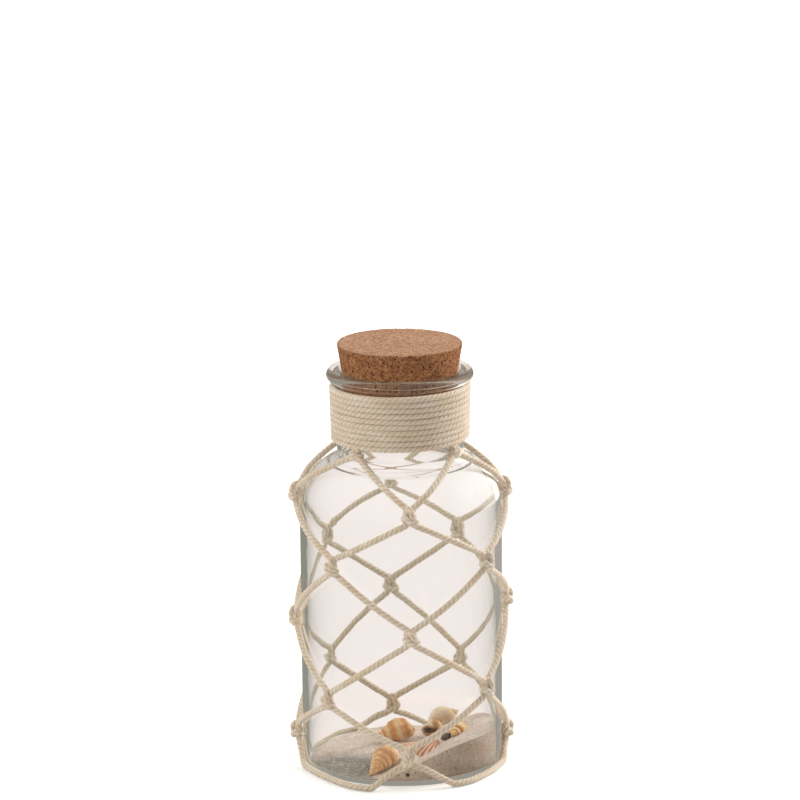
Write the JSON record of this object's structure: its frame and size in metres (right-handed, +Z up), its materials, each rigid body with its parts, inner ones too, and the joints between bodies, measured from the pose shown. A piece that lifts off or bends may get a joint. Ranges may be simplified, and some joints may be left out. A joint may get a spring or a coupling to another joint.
{
  "type": "decorative glass bottle",
  "caption": "Round clear glass bottle with a tapered cork stopper, a cord-wound neck and a knotted cord net, holding heaped sand and sea shells.",
  "frame": {"origin": "on the table under the middle of the bottle's base", "axes": "+Z up along the bottle's axis; -Y is the front that the picture shows; +X is the viewer's right, where the sand is heaped"},
  "size_m": [0.113, 0.1186, 0.2169],
  "materials": {
    "clear_glass": "clear moulded soda-lime glass, polished",
    "cork": "pressed cork granules, cut and sanded",
    "cotton_cord": "twisted natural cotton cord",
    "sand": "fine dry beach sand",
    "orange_shell": "natural sea shell, satin",
    "cream_shell": "natural sea shell, satin",
    "tan_shell": "natural sea shell, satin",
    "yellow_shell": "natural sea shell, satin",
    "rust_shell": "natural ribbed sea shell, satin",
    "dark_stone": "small water-worn pebble"
  },
  "bodies": {
    "bottle": {"glass_bottle": "clear_glass", "neck_wrap": "cotton_cord", "net_cord_1": "cotton_cord", "net_cord_2": "cotton_cord", "net_cord_3": "cotton_cord", "net_cord_4": "cotton_cord", "neck_hitches": "cotton_cord", "knots_row_1": "cotton_cord", "knots_row_2": "cotton_cord", "knots_row_3": "cotton_cord", "knots_row_4": "cotton_cord", "knots_row_5": "cotton_cord", "sand_bed": "sand", "turret_shell": "orange_shell", "whelk_shell": "orange_shell", "cream_snail_shell": "cream_shell", "tan_snail_shell": "tan_shell", "yellow_spiral_shell": "yellow_shell", "ribbed_fan_shell": "rust_shell", "shell_chip": "orange_shell", "dark_pebble": "dark_stone"},
    "stopper": {"cork_stopper": "cork"}
  },
  "joints": [
    {"name": "cork_lift", "type": "slide", "parent": "bottle", "child": "stopper", "axis": [0, 0, 1], "range_m": [0, 0.045]}
  ]
}
